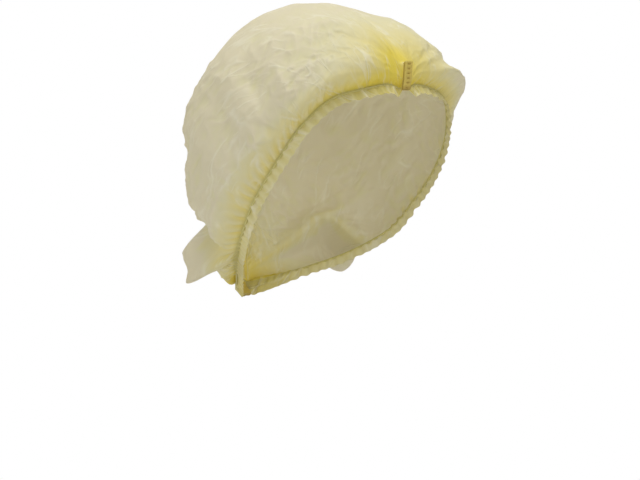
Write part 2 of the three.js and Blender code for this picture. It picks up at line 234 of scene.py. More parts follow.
def step(start, end, at):
    """0 before start, 1 after end, and 3t^2 - 2t^3 between them."""
    t = np.clip((at - start) / (end - start), 0, 1)
    return t * t * (3 - 2 * t)


def unit(vectors):
    """Vectors over their own lengths."""
    return vectors / np.linalg.norm(vectors, axis=-1, keepdims=True)


# %% [markdown]
# Before it wrinkles, the sheet is smooth: a place on it is a direction from the form's centre, and its
# point lies in that direction, at the form's surface plus the looseness. At the tabs the two halves of
# the real sheet lie against each other, so there the directions close up like a hairpin.

# %% The sheet before it wrinkles
# The hairpin's reach along, the breadth of its bend across, and how blunt the bend is.
HAIRPIN_REACH, HAIRPIN_BREADTH, HAIRPIN_POWER = 0.03, 0.12, 0.6
GIRTH_SHARE = 0.6  # about how much of the form's half girth a unit across covers
CLOSER_AT_TABS = 0.1


def form_radius(away):
    """Distance along a direction to the rounded form: ((x^p + y^p)^(r/p) + z^r)^(-1/r), with each
    direction share taken over its half size."""
    x, y, z = np.moveaxis(np.abs(away / HALF), -1, 0)
    plan = x ** PLAN_POWER + y ** PLAN_POWER
    return (plan ** (RISE_POWER / PLAN_POWER) + z ** RISE_POWER) ** (-1 / RISE_POWER)


def middle_way(turn):
    """Direction in the middle plane at an angle from the front: (0, -cos, sin)."""
    return np.stack([0 * turn, -np.cos(turn), np.sin(turn)], -1)


def rim_point(along, side=1.0):
    """Point of the elastic's line: the three shares at this place times the half sizes."""
    shares = np.stack([read(RIM[:, 0], RIM[:, k], along) for k in (1, 2, 3)], -1)
    return (shares * HALF + CENTRE) * np.array([side, 1, 1])


def heading(along, across):
    """Direction from the form's centre: the even turn from the top line's direction to the rim's, with
    the two halves pressed together like a hairpin at the tabs."""
    along, across = np.broadcast_arrays(np.asarray(along, float), np.asarray(across, float))
    turn = TOP_START + (TOP_END - TOP_START) * along
    top = middle_way(turn)
    rim = unit(rim_point(along) - CENTRE)
    share = np.abs(across)[..., None]
    angle = np.arccos(np.clip((top * rim).sum(-1, keepdims=True), -1, 1))
    away = (np.sin((1 - share) * angle) * top + np.sin(share * angle) * rim) / np.sin(angle)
    hairpin = np.exp(-np.minimum(along, 1 - along) / HAIRPIN_REACH)
    spread = np.minimum(1, np.abs(across) / HAIRPIN_BREADTH) ** HAIRPIN_POWER
    away[..., 0] = (away[..., 0] * (1 - hairpin) + rim[..., 0] * hairpin * spread) * np.sign(across)
    return unit(away)


def looseness(along, across):
    """Stand-off from the form: the table read along first, then across."""
    along, across = np.broadcast_arrays(np.asarray(along, float), np.abs(across))
    columns = np.stack([read(LOOSENESS[:, 0], LOOSENESS[:, 1 + k], along) for k in range(len(ACROSS))])
    rise = central_slopes(ACROSS, columns)
    rise[0] = 0
    return PUFF * read(ACROSS, columns, across, rise)


def folds(along, across):
    """Sum of the single folds: height times exp(-(d / width)^2), d the way to the fold's line."""
    length, breadth = math.pi * HALF[1], math.pi * HALF[0] * GIRTH_SHARE
    total = np.zeros(np.broadcast(along, across).shape)
    rows = np.concatenate([FOLDS * [1, 1, 1, 1, 1, FOLD_SHARE], BULGES])
    for at, over, to_at, to_over, width, height in rows:
        run = np.array([(to_at - at) * length, (to_over - over) * breadth])
        x, y = (along - at) * length, (across - over) * breadth
        t = np.clip((x * run[0] + y * run[1]) / (run @ run), 0, 1)
        d = np.hypot(x - t * run[0], y - t * run[1]) / (width * PUFF)
        total += PUFF * height * np.exp(-d * d)
    return total


def rim_frame(along, side):
    """Two directions at the elastic: away from the form, and out past the edge, which is square to the
    elastic's line and to the first."""
    nudge = 0.002
    line = unit(rim_point(along + nudge, side) - rim_point(along - nudge, side))
    away = unit(rim_point(along, side) - CENTRE)
    return away, unit(np.cross(line, away) * side)


def place_along(share):
    """Places along, a little closer together towards both tabs: s - c sin(2 pi s) / (2 pi)."""
    return share - CLOSER_AT_TABS * np.sin(2 * np.pi * share) / (2 * np.pi)


rim_steps = np.diff(rim_point(np.linspace(0, 1, 400)), axis=0)
print("rim length a side: %.0f mm" % (1000 * np.linalg.norm(rim_steps, axis=1).sum()))

# %% [markdown]
# Real cloth wrinkles because there is more of it than the shape needs. So the sheet is given that
# spare length and then relaxed: every thread between two grid points pulls towards its own length,
# bending is resisted, and a soft hold keeps the sheet near the shape the tables give. It is solved on
# a coarse grid first for the large folds, then on two finer ones for wrinkles and gathers. This is a
# cloth simulation without time or gravity, which keeps it quick and the same in each run.

# %% Noise and resampling
draw = np.random.default_rng(7)


def smooth_noise(shape, cells):
    """Random numbers on a coarse lattice, blended by cubic B-splines."""
    lattice = draw.standard_normal((cells[0] + 3, cells[1] + 3))

    def weights(count, n):
        t = np.linspace(0, n, count)
        i = np.minimum(np.floor(t).astype(int), n - 1)
        f = t - i
        cubes = [(1 - f) ** 3, 3 * f ** 3 - 6 * f ** 2 + 4, -3 * f ** 3 + 3 * f ** 2 + 3 * f + 1, f ** 3]
        return i, np.stack(cubes, -1) / 6

    (i, wi), (j, wj) = weights(shape[0], cells[0]), weights(shape[1], cells[1])
    return sum(wi[:, a, None] * wj[None, :, b] * lattice[i + a][:, j + b]
               for a in range(4) for b in range(4))


def resample(values, shape):
    """Values on a finer grid, by Catmull-Rom cubics along each side."""
    def one_way(values, at, axis):
        i = np.clip(np.floor(at).astype(int), 0, values.shape[axis] - 2)
        f = (at - i).reshape([-1 if k == axis else 1 for k in range(values.ndim)])
        p0, p1, p2, p3 = [np.take(values, np.clip(i + k, 0, values.shape[axis] - 1), axis=axis)
                          for k in (-1, 0, 1, 2)]
        square, cube = 2 * p0 - 5 * p1 + 4 * p2 - p3, 3 * (p1 - p2) + p3 - p0
        return p1 + 0.5 * f * (p2 - p0 + f * (square + f * cube))

    values = one_way(values, np.linspace(0, values.shape[0] - 1, shape[0]), 0)
    return one_way(values, np.linspace(0, values.shape[1] - 1, shape[1]), 1)


# %% Smooth sheet with its frills
FRILL, FLARE = 8.2 * MM, 0.2
# Spare cloth as shares of length, one for each level of detail: everywhere along and across, more along
# at the sides and then at the elastic, and more across near the tabs.
ALONG_SPARE, ACROSS_SPARE = (0.01, 0.01, 0.01), (0.01, 0.01, 0.005)
EDGE_SPARE, TAB_SPARE = (0.01, 0.05, 0.17), (0.02, 0.02, 0.01)


def base_sheet(cells_along, cells_across, frill_cells):
    """One grid of crown and both frills: rows along, columns from the right frill's edge to the left
    one's. Past the rim a frill runs out along the past direction and flares by a share of its width."""
    along = place_along(np.linspace(0, 1, cells_along + 1))
    column = np.arange(-(cells_across // 2) - frill_cells, cells_across // 2 + frill_cells + 1)
    across = np.clip(column / (cells_across / 2), -1, 1)
    out = np.clip((np.abs(column) - cells_across / 2) / frill_cells, 0, 1)
    u, v = np.broadcast_arrays(along[:, None], across[None])
    t = np.broadcast_to(out[None], u.shape)
    away = heading(u, v)
    points = CENTRE + away * (form_radius(away) + looseness(u, v))[..., None]
    for side in (-1, 1):
        picked = (np.sign(column) == side) & (out > 0)
        off, past = rim_frame(np.clip(along, HELD_FROM, 1 - HELD_FROM), side)
        width = FRILL * out[picked][None, :, None]
        points[:, picked] = (rim_point(along, side)[:, None] + past[:, None] * width
                             + off[:, None] * FLARE * width)
        away[:, picked] = off[:, None]
    return along, column, u, v, t, points, away


def spare_cloth(u, v, level):
    """Extra length along and across, as shares: along most at the sides and the elastic, which folds
    the cloth across; across most near the tabs, which pleats it along."""
    share = np.abs(v)
    front, rear = np.exp(-u / 0.10), np.exp(-(1 - u) / 0.08)
    side = step(0.25, 0.6, share)
    skirt, brow = step(0.64, 0.72, u), 1 - step(0.15, 0.35, u)
    if level == 0:
        edge = EDGE_SPARE[0] * side * step(0.15, 0.35, u)
    elif level == 1:
        edge = EDGE_SPARE[1] * (step(0.86, 0.98, share) * (1 - 0.7 * skirt) * (1 - 0.6 * brow))
    else:
        edge = EDGE_SPARE[2] * step(0.92, 1, share) * (1 - 0.35 * brow)
    return ALONG_SPARE[level] + edge, ACROSS_SPARE[level] + TAB_SPARE[level] * (front + rear)


# %% Relaxing the sheet
STRETCH_PULL, SHEAR_PULL = 0.9, 0.0625  # shares of a wrong length that one round takes away


def pull(points, free, a, b, rest, strength):
    """Moves both ends of each thread by half of what its length is off, times the strength."""
    way = points[b] - points[a]
    length = np.sqrt((way * way).sum(-1)) + 1e-9
    move = (strength * (length - rest) / (length * np.maximum(free[a] + free[b], 1e-9)))[..., None] * way
    points[a] += free[a][..., None] * move
    points[b] -= free[b][..., None] * move


def relax(points, base, away, free, rest, rounds, bend, hold, low, high):
    """Rounds of pulls along, across and diagonally, straightening, and the hold to the base sheet."""
    rest_along, rest_across, rest_diagonals = rest
    rows, columns = points.shape[:2]
    every, first, last = slice(None), slice(0, -1), slice(1, None)
    diagonals = (((first, first), (last, last)), ((first, last), (last, first)))
    straights = (((slice(0, -2),), (slice(1, -1),), (slice(2, None),)),
                 ((every, slice(0, -2)), (every, slice(1, -1)), (every, slice(2, None))))
    for _ in range(rounds):
        for k in (0, 1):
            pull(points, free, (slice(k, rows - 1, 2),), (slice(k + 1, rows, 2),), rest_along[k::2],
                 STRETCH_PULL)
        for k in (0, 1):
            pull(points, free, (every, slice(k, columns - 1, 2)), (every, slice(k + 1, columns, 2)),
                 rest_across[:, k::2], STRETCH_PULL)
        move = np.zeros_like(points)
        for (a, b), rest_length in zip(diagonals, rest_diagonals):
            way = points[b] - points[a]
            length = np.sqrt((way * way).sum(-1)) + 1e-9
            shift = (SHEAR_PULL * (length - rest_length) / length)[..., None] * way
            move[a] += shift
            move[b] -= shift
        for a, middle, b in straights:
            bow = (points[a] + points[b]) / 2 - points[middle]
            move[middle] += bow * bend / 2
            move[a] -= bow * bend / 4
            move[b] -= bow * bend / 4
        move += (base - points) * hold
        points += move * free[..., None]
        height = ((points - base) * away).sum(-1)
        points += away * (np.clip(height, low, high) - height)[..., None]
    return points


# %% Solving the sheet on three grids
LEVELS = [
    {"cells": (100, 62, 3), "rounds": 200, "bump": 0.8 * MM, "lattice": (26, 16), "bend": 0.3},
    {"cells": (200, 124, 6), "rounds": 160, "bump": 0.6 * MM, "lattice": (60, 34), "bend": 0.3},
    {"cells": (390, 248, 12), "rounds": 140, "bump": 0.35 * MM, "lattice": (120, 66), "bend": 0.35},
]
FRILL_SPARE = 0.13  # share of length, on the finest grid
GATHER_PITCH, GATHER_HEIGHT, GATHER_UNEVEN = 7 * MM, 0.9 * MM, 0.45
# Millimetres that a point may rise or sink on the crown, next to a tab, at the elastic and on a frill.
CROWN_ROOM, TAB_ROOM, RIM_RISE, RIM_SINK, FRILL_ROOM = 3.5, 0.3, 1.7, 1.4, 1.5
SHEET_HOLD, RIM_HOLD = 0.010, 0.25


def thread_lengths(base, grow_along, grow_across):
    """Rest lengths along, across and on both diagonals: those of the base, times one plus the spare."""
    between = lambda values: (values[1:] + values[:-1]) / 2
    along = np.linalg.norm(np.diff(base, axis=0), axis=-1) * (1 + between(grow_along))
    across = np.linalg.norm(np.diff(base, axis=1), axis=-1) * (1 + between(grow_across.T).T)
    both = 1 + between(between((grow_along + grow_across).T).T) / 2
    return along, across, [np.linalg.norm(base[1:, 1:] - base[:-1, :-1], axis=-1) * both,
                           np.linalg.norm(base[1:, :-1] - base[:-1, 1:], axis=-1) * both]


def gather_wave(along, column, share, t):
    """Height of the gathers at the elastic and on the frills: the sine of the way along the elastic
    over their pitch, made uneven by noise."""
    way = np.concatenate([[0], np.cumsum(np.linalg.norm(np.diff(rim_point(along), axis=0), axis=1))])
    uneven = GATHER_UNEVEN * smooth_noise((len(along), 3), (30, 2))[:, 1]
    turn = 2 * np.pi * (way / GATHER_PITCH + uneven)
    return np.sin(turn[:, None] + np.sign(column)[None]) * (GATHER_HEIGHT * (step(0.9, 1, share) + t))


def relaxed_sheet():
    """The three levels in turn: each starts from the coarser one's offset and adds its spare cloth."""
    offset = None
    for number, level in enumerate(LEVELS):
        along, column, u, v, t, smooth, away = base_sheet(*level["cells"])
        share, end = np.abs(v), np.minimum(u, 1 - u)
        fine = number == len(LEVELS) - 1
        base = smooth + away * (folds(u, v) * (1 - step(0.93, 1, share)))[..., None]
        spare = [spare_cloth(u, v, k) for k in range(number + 1)]
        grow_along = sum(s[0] for s in spare) + FRILL_SPARE * t * fine
        rest = thread_lengths(base, grow_along, sum(s[1] for s in spare))
        points = base if offset is None else base + resample(offset, u.shape)
        inside = step(0, 0.05, end) * (1 - step(0.93, 1, share))
        bumps = level["bump"] * smooth_noise(u.shape, level["lattice"]) * inside
        points = points + away * bumps[..., None]
        if fine:
            points = points + away * gather_wave(along, column, share, t)[..., None]
        free = step(-0.002, 0.02, end) * 0.98 + 0.02
        free[[0, -1]] = 0
        puffs, rim = step(0, 0.05, end) * (1 - step(0.9, 1, share)), step(0.9, 1, share)
        inner_room = CROWN_ROOM * puffs + TAB_ROOM * (1 - rim)
        high = MM * (inner_room + RIM_RISE * rim + FRILL_ROOM * t)
        low = -MM * (inner_room + RIM_SINK * rim + FRILL_ROOM * t)
        hold = (SHEET_HOLD + RIM_HOLD * ((share > 1 - 1e-6) & (t == 0)))[..., None]
        points = relax(points.copy(), base, away, free, rest, level["rounds"], level["bend"], hold,
                       low, high)
        offset = points - base
        moved = np.sqrt((offset ** 2).sum(-1).mean()) / MM
        print("level", number, "grid", u.shape, "offset %.2f mm" % moved)
    return {"u": u, "v": v, "t": t, "points": points}


sheet = relaxed_sheet()

# %% [markdown]
# Spunbond cloth keeps every crease it ever got, because its threads are melted together where they
# cross. Solving a grid fine enough for these would take far longer, so the relaxed sheet is crumpled by
# formula: ridged noise gives the fine facets, and nine hundred short creases, sharp along their crest,
# give the lines that catch the light. They run along the cap, with a slant on the sides. Long low waves
# next to the tabs are what is left of the pleats.

# %% Crumpling
CREASES = 900
CLOTH_RUN, HALF_CLOTH = 0.30, 0.17  # metres that a unit along and a unit across stand for, roughly
WARP = 0.004
CREASE_LENGTH, CREASE_WIDTH, CREASE_HEIGHT = (6, 24), (0.7, 1.4), (0.3, 1.1)  # millimetres, from and to
CREASE_SLANT, CREASE_SCATTER = 0.5, 0.45  # radians
FACETS = ((0.35, (24, 16)), (0.5, (48, 30)), (0.45, (96, 60)))  # millimetres, then lattice cells
PLEAT_HEIGHT = 0.85 * MM


def ridged(shape, cells):
    """1 - |n|: smooth noise with a sharp crest wherever it passes through zero, less its mean."""
    noise = smooth_noise(shape, cells)
    ridge = 1 - np.abs(noise) / noise.std()
    return ridge - ridge.mean()


def creases(u, v):
    """Sum of short ridges: height exp(-d / width) fading to its ends, on a slightly warped sheet."""
    x = u * CLOTH_RUN + WARP * smooth_noise(u.shape, (16, 18))
    y = v * HALF_CLOTH + WARP * smooth_noise(u.shape, (16, 18))
    total = np.zeros(u.shape)
    for _ in range(CREASES):
        over = draw.uniform(-0.95, 0.95)
        at = draw.uniform(0.08, 0.95)
        side = step(0.25, 0.45, abs(over))
        turn = -np.sign(over) * CREASE_SLANT * side + draw.normal(0, CREASE_SCATTER)
        run = draw.uniform(*CREASE_LENGTH) * MM * np.array([math.cos(turn), math.sin(turn)])
        width = draw.uniform(*CREASE_WIDTH) * MM
        height = draw.choice([1, 1, -0.8]) * draw.uniform(*CREASE_HEIGHT) * MM
        way_x, way_y = x - at * CLOTH_RUN + run[0] / 2, y - over * HALF_CLOTH + run[1] / 2
        t = np.clip((way_x * run[0] + way_y * run[1]) / (run @ run), 0, 1)
        d = np.hypot(way_x - t * run[0], way_y - t * run[1])
        total += height * np.exp(-d / width) * (0.35 + 0.65 * np.sin(math.pi * t))
    return total


def crumple(sheet):
    """Three sizes of ridged noise and the creases, strongest on the sides and none at the edges, and the
    pleats' waves, which fade away from the tabs."""
    u, v = sheet["u"], sheet["v"]
    share, end = np.abs(v), np.minimum(u, 1 - u)
    side = 0.22 + 1.0 * step(0.3, 0.55, share + 0.5 * step(0.4, 0.65, u))
    smooth = 1 - 0.85 * np.exp(-(u / 0.3) ** 2) - 0.68 * step(0.66, 0.74, u) * step(0.5, 0.7, share)
    shape = u.shape
    relief = MM * sum(height * ridged(shape, cells) for height, cells in FACETS)
    relief = (relief + creases(u, v)) * side * smooth * step(0.01, 0.07, end)
    relief = relief * (1 - step(0.9, 0.99, share))
    pleats = PLEAT_HEIGHT * smooth_noise(shape, (4, 26)) * (np.exp(-u / 0.12) + np.exp(-(1 - u) / 0.1))
    relief = relief + pleats * step(0, 0.03, end) * (1 - step(0.8, 0.97, share))
    away = unit(sheet["points"] - CENTRE)
    sheet["points"] = sheet["points"] + away * relief[..., None]
    return relief


def round_frill(sheet, rounds=6):
    """Rounds the frill's waves: each point moves to a quarter of the row before, half of itself and a
    quarter of the row after, by its share of the frill's width."""
    points, share = sheet["points"], step(0, 0.4, sheet["t"])[1:-1, :, None]
    for _ in range(rounds):
        points[1:-1] += share * ((points[:-2] + points[2:]) / 4 - points[1:-1] / 2)


round_frill(sheet)
relief = crumple(sheet)
print("crumpled by up to %.1f mm" % (1000 * np.abs(relief).max()))

# %% [markdown]
# The grid becomes three pieces that share their edge points: the crown, and a frill on each side. Each
# also carries a UV map in metres of cloth, so a pattern keeps its scale, and a few values that the
# finish reads: how gathered the cloth is, how deep a point lies in a fold, and how close it is to the
# elastic. These values could be painted by hand, but measured from the folds they fit each one.


# %% Meshes from grids
def cell_quads(index):
    """The corner numbers of each cell of a grid, run round so that its face points away."""
    return np.stack([index[:-1, :-1], index[:-1, 1:], index[1:, 1:], index[1:, :-1]], -1).reshape(-1, 4)


def mesh_piece(name, points, faces, attributes=(), uv=None):
    """A smooth mesh at the origin, with values on its points and a UV map if they are given."""
    mesh = bpy.data.meshes.new(name)
    mesh.from_pydata(points.reshape(-1, 3).tolist(), [], faces)
    mesh.polygons.foreach_set("use_smooth", np.ones(len(faces), bool))
    for key, values in dict(attributes).items():
        layer = mesh.attributes.new(key, "FLOAT", "POINT")
        layer.data.foreach_set("value", np.ascontiguousarray(values, dtype=np.float32).ravel())
    if uv is not None:
        layer = mesh.uv_layers.new(name="cloth")
        layer.data.foreach_set("uv", uv.reshape(-1, 2)[np.ravel(faces)].astype(np.float32).ravel())
    piece = bpy.data.objects.new(name, mesh)
    scene.collection.objects.link(piece)
    return piece


def grid_piece(name, points, attributes=(), uv=None):
    """One quad for each cell of the grid."""
    index = np.arange(points.shape[0] * points.shape[1]).reshape(points.shape[:2])
    return mesh_piece(name, points, cell_quads(index).tolist(), attributes, uv)


def cloth_metres(points):
    """Lengths along the grid's rows and columns, summed from the middle column and the first row."""
    steps = np.linalg.norm(np.diff(points, axis=1), axis=-1)
    across = np.concatenate([np.zeros((len(points), 1)), np.cumsum(steps, axis=1)], 1)
    across -= across[:, [across.shape[1] // 2]]
    middle = points[:, points.shape[1] // 2]
    along = np.concatenate([[0], np.cumsum(np.linalg.norm(np.diff(middle, axis=0), axis=-1))])
    return np.stack([across, np.broadcast_to(along[:, None], across.shape)], -1)


uv = cloth_metres(sheet["points"])
print("cloth laid flat, by its middle column: %.3f m" % uv[-1, 0, 1])

# %% Values that the finish reads
FRONT_REACH, REAR_REACH, BROAD_REACH, HEM_AND_SHADE_REACH = 26 * MM, 30 * MM, 60 * MM, 1.4 * MM


def smoothed(values, rounds):
    """Values averaged with their neighbours, several times."""
    for _ in range(rounds):
        padded = np.pad(values, 1, mode="edge")
        values = (padded[1:-1, 1:-1] * 2 + padded[:-2, 1:-1] + padded[2:, 1:-1]
                  + padded[1:-1, :-2] + padded[1:-1, 2:]) / 6
    return values


def fold_depth(sheet):
    """How many millimetres a point lies under the mean of the cloth round it, 1.5 at most either way."""
    height = np.linalg.norm(sheet["points"] - CENTRE, axis=-1)
    return np.clip((smoothed(height, 24) - height) / MM, -1.5, 1.5)


def gathered_and_glow(sheet):
    """Nearly 1 where layers lie on each other: exp(-(d / reach)^1.5) with d the way to either tab, a
    broader and weaker exp(-(d / reach)^2) at the front, and bands along the elastic and at the nape.
    The band at the nape is partly a painted glow, of light let through the cloth there."""
    share, side = np.abs(sheet["v"]), step(-0.2, 0.2, -sheet["v"])
    middle = sheet["points"][:, sheet["points"].shape[1] // 2]
    front, rear = middle[0] + np.array([0, 0, -6 * MM]), middle[-1] + np.array([0, 0, -4 * MM])
    to_front, to_rear = [np.linalg.norm(sheet["points"] - tab, axis=-1) for tab in (front, rear)]
    tabs = ((0.8 + 0.45 * side) * np.exp(-(to_front / FRONT_REACH) ** 1.5)
            + 0.9 * np.exp(-(to_rear / REAR_REACH) ** 1.5))
    # the second band is at the nape, and is partly a painted glow of light let through the cloth
    broad = (0.2 * np.exp(-(to_front / BROAD_REACH) ** 2)
             + 0.25 * step(0.8, 0.95, sheet["u"]) * step(0.6, 0.95, share))
    return np.clip(tabs + broad + (0.2 + 0.25 * side) * step(0.82, 0.98, share), 0, 1)


def hem_layers_and_shade(sheet, depth):
    """A line at the elastic: exp(-(d / reach)^2) with d the cloth between a point and the elastic,
    stronger in the valleys. It stands for the hem's stacked layers and for painted shade in the gathers."""
    d = (1 - np.abs(sheet["v"])) * HALF_CLOTH + sheet["t"] * FRILL
    return np.exp(-(d / HEM_AND_SHADE_REACH) ** 2) * (0.6 + 0.4 * np.clip(depth / 0.6, -1, 1))


depth = fold_depth(sheet)
values = {"depth": depth, "gathered_and_glow": gathered_and_glow(sheet), "hem_layers_and_shade": hem_layers_and_shade(sheet, depth)}
for key, value in values.items():
    print(key, "from %.2f to %.2f" % (value.min(), value.max()))

# %% [markdown]
# At both ends the cloth runs on into the weld. A sheet that stopped at the tab would leave a slit, so
# a few more rows carry it in under the tab, where the two halves meet.

# %% Rows that run in under the tabs
TAB_WIDTH, TAB_HEIGHT, TAB_SETBACK = 6.8 * MM, 17.5 * MM, 2.25 * MM
# For each tab: angle, way, stand-off at its start and at its end, lean to one side.
FRONT_TAB = (TOP_START, -1, 1.12 * PUFF, 0.45 * PUFF, 4 * MM)
REAR_TAB = (TOP_END, 1, 2.96 * PUFF, 2.96 * PUFF, 0)
UNDER_TAB = 0.6 * MM
HALVES_APART = 0.3  # share of the tab's width


def run_in(points, angle, way, off, end_off, lean, rows=4):
    """Extra rows from a tab-end row of the crown to under the tab: each point moves evenly towards the
    tab's underside at its own height, where both halves of the sheet meet."""
    away = unit(points - CENTRE)
    turn = np.arctan2(away[:, 2], -away[:, 1])
    start_radius = form_radius(middle_way(angle)) + off
    share = np.clip((turn - angle) * way * start_radius / TAB_HEIGHT, 0.04, 0.96)
    turn = angle + way * (TAB_SETBACK + TAB_HEIGHT * share) / start_radius
    inward = middle_way(turn)
    under = CENTRE + inward * (form_radius(inward) + off + (end_off - off) * share + UNDER_TAB)[:, None]
    under[:, 0] = np.sign(points[:, 0]) * HALVES_APART * TAB_WIDTH + lean * (0.5 - share)
    part = np.linspace(0, 1, rows + 1)[1:, None, None]
    return points + (under - points) * part


# %% Crown and frills
FRILL_CELLS = LEVELS[-1]["cells"][2]
EDGE = LEVELS[-1]["cells"][1] // 2
parts = {
    "crown_cloth": slice(FRILL_CELLS, FRILL_CELLS + 2 * EDGE + 1),
    "frill_right_cloth": slice(0, FRILL_CELLS + 1),
    "frill_left_cloth": slice(FRILL_CELLS + 2 * EDGE, None),
}


def cloth_piece(name, columns):
    """The columns of one piece, with the rows that run in under both tabs."""
    points, at = sheet["points"][:, columns], uv[:, columns]
    masks = {key: value[:, columns] for key, value in values.items()}
    front, rear = run_in(points[0], *FRONT_TAB), run_in(points[-1], *REAR_TAB)
    points = np.concatenate([front[::-1], points, rear])
    more = np.arange(1, len(front) + 1)[:, None, None] * np.array([0, MM])
    at = np.concatenate([(at[0] - more)[::-1], at, at[-1] + more])
    ends = ((len(front), len(rear)), (0, 0))
    masks = {key: np.pad(value, ends, mode="edge") for key, value in masks.items()}
    return grid_piece(name, points, masks, at)


pieces = {name: cloth_piece(name, columns) for name, columns in parts.items()}


def cloth_area(points):
    """Sum of half the cross product of each cell's diagonals."""
    down, up = points[1:, 1:] - points[:-1, :-1], points[:-1, 1:] - points[1:, :-1]
    return np.linalg.norm(np.cross(down, up), axis=-1).sum() / 2


for name, columns in parts.items():
    print(name, len(pieces[name].data.polygons), "quads, %.4f m2" % cloth_area(sheet["points"][:, columns]))

# %% [markdown]
# The elastic is a soft cord caught in the gathers, a little darker than the cloth: its olive is partly
# painted shade of the gathers. A curve with a bevel would do too, but a round profile carried along the
# rim's own line stays exactly in the gathers.

# %% Elastic cords
CORD_RADIUS = 0.75 * MM
CORD_SETTING = 1.1 * MM


def cord_piece(name, side, rows=360, spokes=10):
    """Points at middle + radius (cos a away + sin a past), for every place along and every angle a."""
    along = np.linspace(HELD_FROM, CORD_TO, rows)
    away, past = rim_frame(along, side)
    middle = rim_point(along, side) + past * CORD_SETTING
    angle = np.linspace(0, 2 * np.pi, spokes + 1)[None, :-1, None]
    points = middle[:, None] + CORD_RADIUS * (np.cos(angle) * away[:, None] + np.sin(angle) * past[:, None])
    index = np.arange(rows * spokes).reshape(rows, spokes)
    beside = np.roll(index, -1, axis=1)
    quads = np.stack([index[:-1], beside[:-1], beside[1:], index[1:]], -1).reshape(-1, 4)
    closed_ends = [index[0][::-1].tolist(), index[-1].tolist()]
    return mesh_piece(name, points, quads.tolist() + closed_ends)


pieces["elastic_right_cord"] = cord_piece("elastic_right_cord", -1)
pieces["elastic_left_cord"] = cord_piece("elastic_left_cord", 1)
print("cords of", len(pieces["elastic_left_cord"].data.polygons), "faces each")

# %% [markdown]
# At each end the pleats are stacked and welded by a toothed tool, which leaves a stiff bar with a
# column of short pressed dashes. The dashes could be a bump in the finish, but they are deep enough to
# be seen edge on, so they are pressed into the mesh.

# %% Weld tabs
TAB_THICKNESS = 3 * MM
DASHES, DASH_DEPTH = 6, 0.6 * MM
DASH_HALF_HEIGHT, DASH_HALF_WIDTH = 0.19, 0.42  # shares of a dash's pitch and of the tab's half width


def tab_piece(name, angle, way, off, end_off, lean, rows=120, columns=40):
    """A closed bar: 0.55 + 0.45 sqrt((1 - x^10)(1 - (2 s - 1)^30)) of the full thickness, which rounds
    its edges, less a smooth oval exp(-a^4 - b^4) for each dash."""
    start_radius = form_radius(middle_way(angle)) + off
    span, setback = TAB_HEIGHT / start_radius, TAB_SETBACK / start_radius
    s, x = np.linspace(0, 1, rows)[:, None], np.linspace(-1, 1, columns)[None]
    away = middle_way(angle + way * (setback + span * s) + 0 * x)
    place = s * DASHES - 0.2
    dash = np.exp(-(((place % 1) - 0.5) / DASH_HALF_HEIGHT) ** 4 - (x / DASH_HALF_WIDTH) ** 4)
    edge = (1 - x ** 10) * (1 - (2 * s - 1) ** 30)
    thickness = TAB_THICKNESS * (0.55 + 0.45 * edge ** 0.5) - DASH_DEPTH * dash
    radius = form_radius(away) + off + (end_off - off) * s
    outer = CENTRE + away * (radius + thickness)[..., None]
    inner = CENTRE + away * radius[..., None]
    for face in (outer, inner):
        face[..., 0] = x * TAB_WIDTH / 2 + lean * (0.5 - s)
    index = np.arange(2 * rows * columns).reshape(2, rows, columns)
    rims = [np.stack([index[0, 0], index[1, 0]]), np.stack([index[1, -1], index[0, -1]]),
            np.stack([index[1, :, 0], index[0, :, 0]]), np.stack([index[0, :, -1], index[1, :, -1]])]
    quads = np.concatenate([cell_quads(index[0]), cell_quads(index[1])[:, ::-1]]
                           + [cell_quads(rim) for rim in rims])
    marks = np.maximum(0.7 * dash, 0.55 * step(0.82, 1, s) + 0 * x)
    pressed = np.stack([marks, 0 * marks])
    return mesh_piece(name, np.stack([outer, inner]), quads.tolist(), {"pressed": pressed})


pieces["front_weld"] = tab_piece("front_weld", *FRONT_TAB)
pieces["rear_weld"] = tab_piece("rear_weld", *REAR_TAB)
print("weld tabs of", len(pieces["rear_weld"].data.polygons), "faces each")

# %% [markdown]
# Spunbond cloth is a thin mat of plastic threads. It lets light through, so lit cloth glows from
# behind and single layers look pale, while stacked layers turn a deeper yellow. A picture of cloth
# would repeat and blur, so the threads and the creases come from noise, measured in metres of cloth.


# %% Small helpers for nodes
def add(tree, kind, *ordered, **named):
    """A new node with its inputs set or linked, in their order or by their names."""
    node = tree.nodes.new(kind)
    given = list(zip(node.inputs, ordered))
    given += [(node.inputs[key.replace("_", " ")], value) for key, value in named.items()]
    for socket, value in given:
        if isinstance(value, bpy.types.NodeSocket):
            tree.links.new(value, socket)
        else:
            socket.default_value = value
    return node


def ramp(tree, value, stops):
    """Colours between stops of (place, colour)."""
    node = add(tree, "ShaderNodeValToRGB", Fac=value)
    elements = node.color_ramp.elements
    while len(elements) < len(stops):
        elements.new(0.5)
    for element, (place, colour) in zip(elements, stops):
        element.position, element.color = place, (*colour, 1)
    return node.outputs["Color"]


def math_node(tree, operation, a, b=0.0):
    """One arithmetic step."""
    node = add(tree, "ShaderNodeMath", a, b)
    node.operation = operation
    return node.outputs[0]


def mixed(tree, share, colour, other):
    """A linked colour blended towards a plain one by a share."""
    node = tree.nodes.new("ShaderNodeMix")
    node.data_type = "RGBA"
    tree.links.new(share, node.inputs[0])
    tree.links.new(colour, node.inputs[6])
    node.inputs[7].default_value = (*other, 1)
    return node.outputs[2]


def attribute(tree, name):
    """A value that the mesh carries on its points."""
    node = tree.nodes.new("ShaderNodeAttribute")
    node.attribute_name = name
    return node.outputs["Fac"]


def new_material(name):
    """A new material, with its tree and its Principled shader."""
    material = bpy.data.materials.new(name)
    material.use_nodes = True
    return material, material.node_tree, material.node_tree.nodes["Principled BSDF"]


